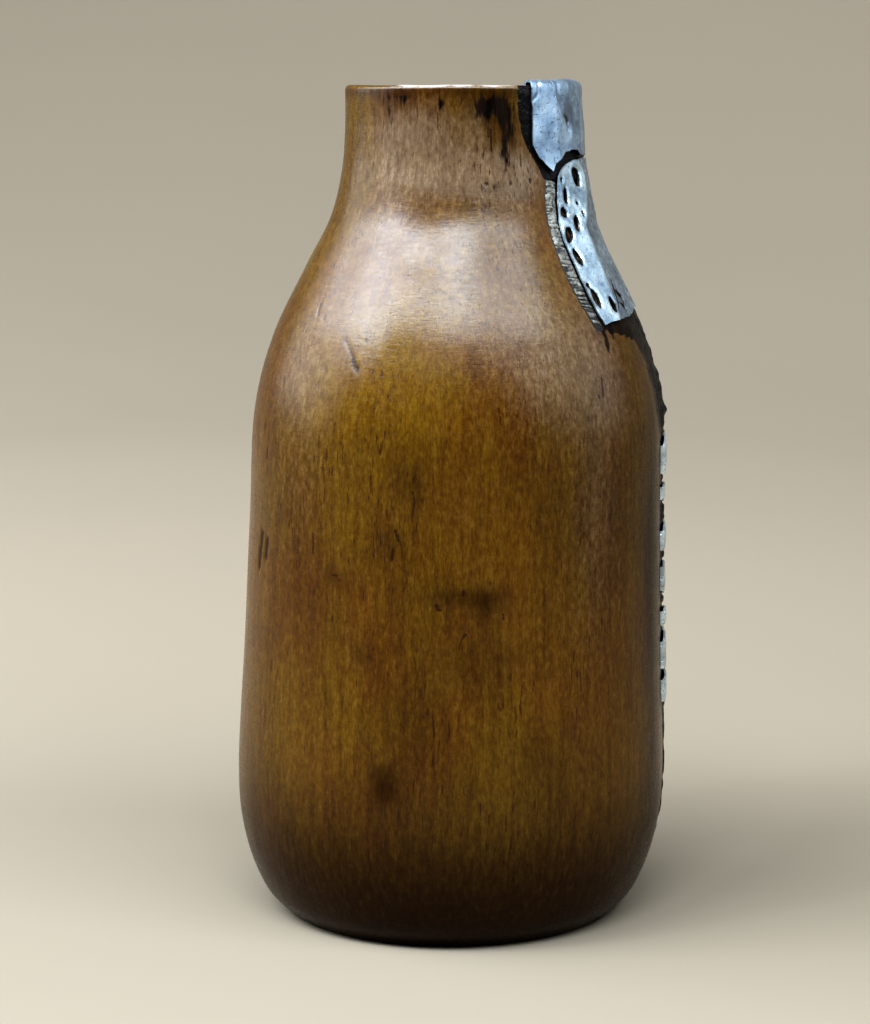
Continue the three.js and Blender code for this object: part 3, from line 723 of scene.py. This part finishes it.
def rim_patch():
    edge_a, edge_z = zip(*RIM_PATCH_EDGE)
    columns = 175
    rows = 44
    azimuth = np.interp(np.linspace(0, 1, columns), np.linspace(0, 1, len(edge_a)), edge_a)
    azimuth = 0.5 * azimuth + 0.5 * np.linspace(edge_a[0], edge_a[-1], columns)
    foot = np.interp(azimuth, edge_a, edge_z) + 0.16 * ripple(azimuth, 1.6, 21)
    share = np.linspace(0, 1, rows)[:, None]
    z_leaf = foot[None, :] + (FOLD_FOOT - foot[None, :]) * share
    front_edge = smooth(azimuth[None, :], 44, 36)
    a_leaf = azimuth[None, :] + 0.35 * ripple(z_leaf, 4, 22) * front_edge
    inside = rim_inside(a_leaf, z_leaf)
    groove_a = np.interp(z_leaf, [236, 240.5, 243.5, 245.5, 250], [59.5, 59, 56.2, 55, 49.8])
    groove = 0.3 * np.exp(-((a_leaf - groove_a) * NECK_ARC / 1.1) ** 2) * smooth(z_leaf, 235, 239)
    corner_z = 248.2 + (a_leaf - 38.5) * 0.55
    corner = 0.3 * np.exp(-((z_leaf - corner_z) / 0.7) ** 2) * smooth(a_leaf, 44, 41)
    radius_leaf = inside - groove - corner
    turns = np.linspace(0, np.pi, 26)[1:, None]
    level = np.sign(np.cos(turns)) * np.abs(np.cos(turns)) ** 0.6
    rise = np.abs(np.sin(turns)) ** 0.6
    top = (FOLD_RISE + 0.45 * np.exp(-((azimuth - 66) / 9) ** 2) - 0.1
           + 0.12 * ripple(azimuth, 5, 24))
    front = radius_leaf[-1]
    back = NECK_RADIUS - RIM_WALL - 2 * GAP + 0 * front
    depth = np.linspace(0, 1, 16)[1:, None] * (15 + 0.8 * ripple(azimuth, 6, 25))
    faces_of = []
    for out in (SHEET, 0.0):
        r = np.vstack([radius_leaf + out, (front + back) / 2 + ((front - back) / 2 + out) * level,
                       back - out + 0 * depth])
        z = np.vstack([z_leaf, FOLD_FOOT + (top + out) * rise, FOLD_FOOT - depth])
        over = np.vstack([0 * z_leaf, (1 - level) / 2 + 0 * azimuth, 1 + 0 * depth])
        slant = 3.2 * over * smooth(azimuth, 52, 36)
        a = np.vstack([a_leaf, azimuth + 0 * level, azimuth + 0 * depth]) + slant
        r = r + dents(on_wall(a, z, r), 0.09, 26)
        faces_of.append(on_wall(a, z, r).reshape(-1, 3))
    count = len(faces_of[0]) // len(azimuth)
    points, faces = thick_sheet(faces_of[0], faces_of[1], grid_faces(count, len(azimuth))[:, ::-1])
    piece = make_piece("rim_sheet", points, faces, ALUMINIUM, "rim_patch")
    piece.data.set_sharp_from_angle(angle=SHARP)
    grime_and_shade = np.zeros((count, len(azimuth)))
    # Darker along the foot of the patch, in the groove, at its corner and in one spot on the
    # groove.
    grime_and_shade[:rows] = 0.75 * np.exp(-((z_leaf - foot) / 0.5) ** 2) + 0.9 * groove + corner
    grime_and_shade[:rows] += 0.6 * np.exp(-((a_leaf - 58) / 2.2) ** 2 - ((z_leaf - 241) / 2.5) ** 2)
    # Painted shade: the fold is darker where it turns away to the right.
    grime_and_shade[rows - 2:rows + 10] += 0.35 * smooth(azimuth, 66, 72)
    add_attribute(piece, "grime_and_shade", np.tile(grime_and_shade.reshape(-1), 2))
    tarnish_and_shade = np.zeros((count, len(azimuth)))
    tarnish_and_shade[:rows] = 0.9 * np.exp(-((a_leaf - 58.5) / 4.5) ** 2 - ((z_leaf - 243.5) / 4.5) ** 2)
    tarnish_and_shade[:rows] += 0.25 * smooth(a_leaf, 56, 62) * smooth(a_leaf, 76, 70)
    # Painted shade: the right part of the patch is darker, as it turns away from the light.
    tarnish_and_shade += 0.3 * smooth(azimuth, 62, 70)
    add_attribute(piece, "tarnish_and_shade", np.tile(tarnish_and_shade.reshape(-1), 2))


def outline_points(corners, step, wobble, seed):
    """Points every step millimetres round a closed outline, each moved a little."""
    corners = np.array(corners, float)
    closed = np.vstack([corners, corners[:1]])
    lengths = np.hypot(*np.diff(closed, axis=0).T)
    distance = np.concatenate([[0], np.cumsum(lengths)])
    at = np.linspace(0, distance[-1], max(8, int(distance[-1] / step)), endpoint=False)
    line = np.stack([np.interp(at, distance, closed[:, i]) for i in (0, 1)], -1)
    here = np.stack([line[:, 0], line[:, 1], 0 * at], -1)
    return line + wobble * np.stack([lumps(here, 1.3, seed), lumps(here, 1.3, seed + 1)], -1)


def inside_outline(points, outline):
    """Which points lie inside a closed outline."""
    x, y = points[:, 0][:, None], points[:, 1][:, None]
    x0, y0 = outline[:, 0][None], outline[:, 1][None]
    x1, y1 = np.roll(x0, -1), np.roll(y0, -1)
    crosses = (y0 > y) != (y1 > y)
    at = x0 + (y - y0) * (x1 - x0) / np.where(y1 == y0, 1e-9, y1 - y0)
    return (np.sum(crosses & (x < at), axis=1) % 2) == 1


def nearest(points, outline):
    """Distance from each point to the closest point of an outline."""
    return np.min(np.hypot(points[:, :1] - outline[:, 0], points[:, 1:] - outline[:, 1]), axis=1)


FLAT = 0.72  # millimetres to a degree where the shoulder patch is laid out flat


def slot_outline(row, seed):
    at, height, width, length, slant = row
    turn = np.linspace(0, 2 * np.pi, max(10, int(4 * length)), endpoint=False)
    circle = np.stack([2 * np.cos(turn), 2 * np.sin(turn), 0 * turn], -1)
    wobble = 1 + 0.16 * lumps(circle, 1.0, seed)
    x, y = width / 2 * np.cos(turn) * wobble, length / 2 * np.sin(turn) * wobble
    lean_over = math.radians(slant)
    return np.stack([at * FLAT + x * math.cos(lean_over) + y * math.sin(lean_over),
                     height - x * math.sin(lean_over) + y * math.cos(lean_over)], -1)


def tear_outline(line, width):
    p = np.array([(a * FLAT, z) for a, z in line])
    t = np.linspace(0, 1, 6 * len(p))
    x = np.interp(t, np.linspace(0, 1, len(p)), p[:, 0])
    y = np.interp(t, np.linspace(0, 1, len(p)), p[:, 1])
    half = width / 2 * np.sin(np.pi * np.clip(t, 0.04, 0.96))
    side = np.stack([np.gradient(y), -np.gradient(x)], -1)
    side = side / np.linalg.norm(side, axis=1, keepdims=True) * half[:, None]
    middle = np.stack([x, y], -1)
    return np.vstack([middle + side, (middle - side)[::-1]])


def shoulder_patch():
    front = [(azimuth, z) for z, azimuth in SHOULDER_FRONT[1:-1]][::-1]
    half = SHOULDER_TOP[::-1] + front + SHOULDER_FOOT
    mirrored = [(2 * float(crack_azimuth(z)) - a, z) for a, z in half[::-1][1:-1]]
    laid_flat = [(a * FLAT, z) for a, z in half + mirrored]
    outline = outline_points(laid_flat, 0.45, 0.14, 31)
    holes = []
    for i, row in enumerate(SLOTS):
        at, height, width, length, slant = row
        mirror_at = 2 * float(crack_azimuth(height)) - at
        behind = (mirror_at, height + 0.4 * math.sin(3 * i), width, length, -slant)
        holes += [slot_outline(row, 40 + i), slot_outline(behind, 60 + i)]
    for line in TEARS:
        holes += [tear_outline(line, 0.95)]
    random = np.random.default_rng(5)
    low, high = outline.min(0), outline.max(0)
    spacing = 0.62
    gx, gy = np.meshgrid(np.arange(low[0], high[0], spacing), np.arange(low[1], high[1], spacing))
    inner = np.stack([gx.ravel(), gy.ravel()], -1) + random.uniform(-0.16, 0.16, (gx.size, 2))
    inner = inner[inside_outline(inner, outline)]
    rings = [outline] + holes
    for ring in rings:
        keep = nearest(inner, ring) > 0.3
        if ring is not outline:
            keep &= ~inside_outline(inner, ring)
        inner = inner[keep]
    vertices, edges = [], []
    for ring in rings:
        start = len(vertices)
        vertices += [Vector(p) for p in ring]
        edges += [(start + i, start + (i + 1) % len(ring)) for i in range(len(ring))]
    vertices += [Vector(p) for p in inner]
    laid, _, triangles, *_ = delaunay_2d_cdt(vertices, edges, [], 0, 1e-6)
    laid = np.array([tuple(p) for p in laid])
    triangles = np.array(triangles)
    middles = laid[triangles].mean(1)
    keep = inside_outline(middles, outline)
    for hole in holes:
        keep &= ~inside_outline(middles, hole)
    triangles = triangles[keep]
    azimuth, z = laid[:, 0] / FLAT, laid[:, 1]
    near = np.full(len(laid), 9.0)
    for hole in holes:
        near = np.minimum(near, nearest(laid, hole))
    edge = nearest(laid, outline)
    pressed = 0.3 * np.exp(-(near / 0.55) ** 2)
    raised = 0.14 * np.exp(-((near - 1.1) / 0.5) ** 2)
    radius = shoulder_inside(azimuth, z) - pressed + raised
    torn = np.exp(-((azimuth - 66.5) * FLAT / 2.4) ** 2 - ((z - 189) / 4) ** 2)
    radius = radius + torn * (0.35 + 0.5 * lumps(np.stack([azimuth, z * 0.5, 0 * z], -1), 1.6, 33))
    radius = radius + dents(on_wall(azimuth, z, radius), 0.06, 34)
    outer = on_wall(azimuth, z, radius + SHEET)
    points, faces = thick_sheet(outer, on_wall(azimuth, z, radius), triangles)
    used = sorted({i for face in faces for i in face})
    order = {old: new for new, old in enumerate(used)}
    points = points[used]
    faces = [tuple(order[i] for i in face) for face in faces]
    piece = make_piece(
        "shoulder_sheet", points, faces, BRIGHT_ALUMINIUM, "shoulder_patch")
    piece.data.set_sharp_from_angle(angle=SHARP)
    # Darker round the slots, along the outline and on the torn part.
    grime_and_shade = np.exp(-(near / 0.32) ** 2) + 0.45 * np.exp(-(edge / 0.3) ** 2) + 0.35 * torn
    add_attribute(piece, "grime_and_shade", np.tile(grime_and_shade, 2)[used])
    # Painted shade: beyond each crease the strip faces away from the light and is painted darker;
    # the torn part is tarnished too.
    crease = np.interp(z, *zip(*CREASE))
    behind = np.minimum(azimuth, 2 * crack_azimuth(z) - azimuth) - crease
    add_attribute(piece, "tarnish_and_shade", np.tile(0.72 * smooth(behind, -0.4, 0.8) + 0.3 * torn, 2)[used])


# ---------------------------------------------------------------- staples

def staple(number, middle, length, slant):
    """A short strip over the crack, with both ends turned down into the wood."""
    across = np.concatenate([
        np.linspace(-1.12, -1, 4), np.linspace(-0.97, 0.97, 40), np.linspace(1, 1.12, 4),
    ])[None, :]
    up = np.linspace(-0.5, 0.5, 18)[:, None]
    ragged = 0.5 * ripple(across * 3, 0.6, 50, number)
    taper = 1 - 0.2 * np.abs(np.clip(across, -1, 1)) ** 4
    z = middle + up * (length * taper + 2 * ragged * np.sign(up)) + across * slant / 2
    azimuth = crack_azimuth(z) + np.clip(across, -1.02, 1.02) * STAPLE_HALF
    hump = (0.85 + 0.15 * math.sin(2.4 * number)) * np.cos(np.clip(across, -1, 1) * 1.2)
    sunk = 2.2 * smooth(np.abs(across), 0.95, 1.12)
    here = np.stack([azimuth, z, 0 * z + 9 * number], -1)
    curl = 0.5 * (np.abs(up) * 2) ** 4
    radius = outer_radius(z) + 0.6 + hump - sunk - 0.3 * curl + 0.1 * lumps(here, (3, 3, 3), 51)
    radius = radius + 0.3 * lumps(here, (9, 4, 5), 52) - 0.35 * np.clip(-2 * up, 0, 1) ** 3
    outer = on_wall(azimuth, z, radius + SHEET).reshape(-1, 3)
    inner = on_wall(azimuth, z, radius).reshape(-1, 3)
    points, faces = thick_sheet(outer, inner, grid_faces(*z.shape))
    node = f"belly_staple_{number}"
    piece = make_piece(f"staple_{number}", points, faces, STAPLE_METAL, node)
    piece.data.set_sharp_from_angle(angle=SHARP)
    grime_and_shade = 0.04 + 0.32 * (np.abs(up) * 2) ** 10 + 0.12 * np.abs(across) ** 4
    add_attribute(piece, "grime_and_shade", np.tile(grime_and_shade.reshape(-1), 2))
    add_attribute(piece, "tarnish_and_shade", 0.2 + 0 * np.tile(grime_and_shade.reshape(-1), 2))


# ---------------------------------------------------------------- pitch and putty

BEDDED = 0.7  # how far the underside of pitch and putty lies inside the wood


def grid(low, high, rows, columns, start=0):
    """Heights down the rows, and shares from start to 1 along the columns, as two equal grids."""
    z = np.linspace(low, high, rows)[:, None] + 0 * np.linspace(0, 1, columns)[None, :]
    return z, np.linspace(start, 1, columns)[None, :] + 0 * z


def film(name, azimuth, z, height, material, replaces):
    """A closed layer on the wood, from the height above the wall at each point of a grid."""
    top = on_wall(azimuth, z, outer_radius(z) + height).reshape(-1, 3)
    under = on_wall(azimuth, z, outer_radius(z) - BEDDED).reshape(-1, 3)
    points, faces = thick_sheet(top, under, grid_faces(*z.shape))
    return make_piece(name, points, faces, material, replaces)


def crack_pitch():
    z, across = grid(CRACK_FOOT - 4, BEAD_TOP + 1.5, 420, 41, start=-1)
    half = np.interp(z, [CRACK_FOOT - 4, CRACK_FOOT + 5, 60, 148, 158, BEAD_TOP],
                     [0.8, 2.5, 8.5, 9, 12.5, 18])
    half = half * (1 + 0.14 * ripple(z, 7, 71) + 0.12 * ripple(z, 2.2, 72)
                   + 0.05 * ripple(z, 0.9, 77))
    azimuth = crack_azimuth(z) + across * half
    crest = np.interp(z, [60, 148, 153.5, 160, 166, 171, BEAD_TOP],
                      [0.9, 0.8, 2.1, 1.4, 1.0, 0.6, 0.5])
    crest = crest * (1 + 0.3 * ripple(z, 2.3, 75))
    wall = on_wall(azimuth, z, outer_radius(z))
    ridges = np.abs(lumps(wall, (1.6, 1.6, 9), 73))
    rough = 0.24 * lumps(wall, (2.2, 2.2, 4), 74) + 0.16 * lumps(wall, (1.0, 1.0, 1.5), 76)
    body = np.clip(1 - np.abs(across) ** 2.6, 0, 1)
    height = body * (crest * (0.45 + 0.55 * np.cos(across * 1.9)) + rough + 0.35 * ridges) - 0.12
    beyond = [np.abs(z - middle - across * slant / 2) - length / 2
              for middle, length, slant in STAPLES]
    open_run = smooth(np.min(beyond, axis=0), 0.7, 1.8) * smooth(z, 60, 66)
    low = np.minimum(height * (1 + 0.7 * open_run), 0.95 + 0.8 * open_run)
    height = np.where(z > 147.5, height, low)
    film("crack_filling", azimuth, z, height, PITCH, "crack_pitch")


def rim_pitch():
    z, share = grid(222.5, HEIGHT - 0.7, 120, 190)
    left = np.interp(z, [222.5, 227, 230.5, 234, 238, 242, HEIGHT],
                     [44.2, 40.5, 37.6, 34.2, 30.6, 29.4, 29.0])
    left = left + 0.7 * ripple(z, 3, 81) + 0.4 * ripple(z, 1.2, 82)
    azimuth = left + (2 * RIM_PATCH_CENTRE - 2 * left) * share
    place = on_wall(azimuth, z, outer_radius(z))
    offset = np.minimum(azimuth - left, 2 * RIM_PATCH_CENTRE - left - azimuth) * NECK_ARC
    lumpy = 0.5 + 0.5 * lumps(place, 2.4, 83) + 0.2 * lumps(place, 0.9, 84)
    open_part = smooth(offset, 0, 1.2) * (0.14 + 0.2 * lumpy)
    lower_sheet = np.where(z < 230.6, shoulder_inside(azimuth, z), 99)
    room = np.minimum(rim_inside(azimuth, z), lower_sheet) - outer_radius(z)
    filled = (np.minimum(room - 0.25, 1.0 + 0.7 * lumpy)
              * smooth(azimuth, 42, 52) * smooth(azimuth, 112, 102))
    height = (np.maximum(open_part, filled) - 0.08 - 0.5 * smooth(z, 224.5, 222.5)
              - 0.3 * smooth(z, HEIGHT - 2.5, HEIGHT - 0.7))
    film("rim_filling", azimuth, z, height, PITCH, "rim_pitch")


def putty(side, name, replaces):
    """The band along one edge of the shoulder patch. side is -1 in front and 1 behind."""
    z, across = grid(180.6, 224.4, 300, 17)
    gap = np.interp(z, [181, 200, 206, 210, 224], [0.7, 0.5, 0.1, -0.5, -0.7])
    row = 5 * side
    inner = np.interp(z, *zip(*SHOULDER_FRONT)) - gap + 0.2 * ripple(z, 1.8, 91, row)
    outer = (np.interp(z, *zip(*PUTTY_OUTER)) + 0.45 * ripple(z, 3, 92, row)
             + 0.2 * ripple(z, 1.1, 93, row))
    azimuth = outer + (inner - outer) * across
    if side > 0:
        azimuth = (2 * crack_azimuth(z) - azimuth)[:, ::-1]
    place = on_wall(azimuth, z, outer_radius(z))
    tilt = z * 0.94 + 0.5 * across
    ribs = lumps(np.stack([1.05 * across, tilt, 0 * z + 7 * side], -1), (1.1, 0.4, 1), 94)
    ribs = ribs * (0.75 + 0.5 * lumps(place, 2.4, 96))
    grains = lumps(place, 0.8, 95) + 0.6 * lumps(place, 0.45, 97)
    ends = smooth(z, 180.6, 183) * smooth(z, 224.4, 222.6)
    body = (4 * across * (1 - across)) ** 0.55
    height = body * ends * (0.6 + 0.34 * ribs + 0.2 * grains) - 0.06
    piece = film(name, azimuth, z, height, PUTTY, replaces)
    # Painted shade in the crevices between the ribs and along the thin edges of the band; the band
    # is also darker towards the bottom.
    shade_between_ribs = (0.25 + 0.6 * smooth(ribs, 0.1, -0.4)) * smooth(z, 214, 198)
    hollow_shade = smooth(height, 0.32, 0.05) + shade_between_ribs
    hollow_shade = hollow_shade + 0.25 * smooth(z, 196, 184)
    add_attribute(piece, "hollow_shade", np.tile(hollow_shade.reshape(-1), 2))


vessel()
rim_patch()
shoulder_patch()
for i, (middle, length, slant) in enumerate(STAPLES, 1):
    staple(i, middle, length, slant)
crack_pitch()
rim_pitch()
putty(-1, "putty_front", "putty_band_front")
putty(1, "putty_rear", "putty_band_rear")


# ---------------------------------------------------------------- floor, light and camera

def stage():
    """A pale bowl: a flat floor that curves up on all sides, beyond every camera."""
    flat = [0.02, 0.2, 0.5, 0.9, 1.3]
    turns = np.radians(np.linspace(4, 90, 18))
    bend = [(1.3 + 1.3 * math.sin(a), 1.3 - 1.3 * math.cos(a)) for a in turns]
    path = [(r, 0.0) for r in flat] + bend + [(2.6, 2.2)]
    columns = 96
    angle = np.linspace(0, 2 * np.pi, columns, endpoint=False)
    points = [(r * np.sin(a), -r * np.cos(a), z) for r, z in path for a in angle]
    faces = [tuple(int(i) for i in q) for q in grid_faces(len(path), columns, closed_columns=True)]
    faces.append(tuple(range(columns)))
    mesh = bpy.data.meshes.new("floor")
    mesh.from_pydata(points, [], faces)
    mesh.shade_smooth()
    n = Nodes("pale_floor")
    axes = n.add("ShaderNodeSeparateXYZ")
    n.link(n.place, axes.inputs[0])
    along = axes.outputs["Y"]
    # Painted light: the floor is paler further back, so the far wall looks as bright as a lit
    # backdrop; in front it is darker, where the belly mirrors it.
    paper_and_painted_light = n.ramp(n.times(along, 0.5), [
        (0.05, (0.205, 0.174, 0.130)), (0.155, (0.240, 0.202, 0.150)),
        (0.42, (0.330, 0.278, 0.210)), (0.65, (0.42, 0.358, 0.275)),
    ])
    paper_and_painted_light = n.mix(n.times(n.noise(3, 3, 0.5), 0.12), paper_and_painted_light, (0.2, 0.185, 0.16))
    front = n.range(along, -1.0, -0.2, 0.8, 0.0)
    colour = n.mix(front, paper_and_painted_light, (0.09, 0.082, 0.072))
    mesh.materials.append(n.finish(colour, 0.9, Specular_IOR_Level=0.1))
    floor = bpy.data.objects.new("floor", mesh)
    bpy.context.scene.collection.objects.link(floor)


SHOULDER = Vector((0, 0, 0.19))
WINDOW_DISTANCE = 1.5


def window(name, azimuths, elevations, radiance):
    """A soft rectangular light that spans these angles, in degrees, as seen from the shoulder."""
    azimuth = math.radians(sum(azimuths) / 2)
    elevation = math.radians(sum(elevations) / 2)
    flat = math.cos(elevation)
    toward = Vector((math.sin(azimuth) * flat, -math.cos(azimuth) * flat, math.sin(elevation)))
    data = bpy.data.lights.new(name, "AREA")
    data.shape = "RECTANGLE"
    half_width = math.radians(azimuths[1] - azimuths[0]) / 2
    half_height = math.radians(elevations[1] - elevations[0]) / 2
    data.size = 2 * WINDOW_DISTANCE * flat * math.tan(half_width)
    data.size_y = 2 * WINDOW_DISTANCE * math.tan(half_height)
    data.energy = radiance * math.pi * data.size * data.size_y
    data.color = (0.80, 0.89, 1.0)
    lamp = bpy.data.objects.new(name, data)
    lamp.location = SHOULDER + toward * WINDOW_DISTANCE
    lamp.rotation_euler = (-toward).to_track_quat("-Z", "Y").to_euler()
    lamp.visible_camera = False
    bpy.context.scene.collection.objects.link(lamp)


def lights():
    window("window_far_left", (-128, -70), (4, 46), 2.7)
    window("window_left", (-86, -53), (28, 50), 20)
    window("window_left_low", (-113, -87), (24, 44), 7.5)
    window("window_above", (-57, -29), (44, 60), 28)
    window("window_middle", (-23, 14), (41, 60), 23.5)
    window("window_right", (14, 68), (34, 56), 11)
    window("window_far_right", (52, 108), (0, 40), 1.15)
    world = bpy.data.worlds.new("room")
    bpy.context.scene.world = world
    world.use_nodes = True
    background = world.node_tree.nodes["Background"]
    background.inputs["Color"].default_value = (0.92, 0.95, 1.0, 1)
    background.inputs["Strength"].default_value = 0.25


EYE = (-0.0045, -0.848, 0.2462)
LOOKING_DOWN = 8.32


def camera():
    data = bpy.data.cameras.new("camera")
    data.lens = 98.4
    data.sensor_width = 36
    data.clip_start = 0.01
    data.clip_end = 30
    eye = bpy.data.objects.new("camera", data)
    eye.location = EYE
    eye.rotation_euler = (math.radians(90 - LOOKING_DOWN), 0, 0)
    bpy.context.scene.collection.objects.link(eye)
    bpy.context.scene.camera = eye


stage()
lights()
camera()
bpy.context.scene.view_settings.view_transform = "Standard"
bpy.context.scene.view_settings.look = "High Contrast"
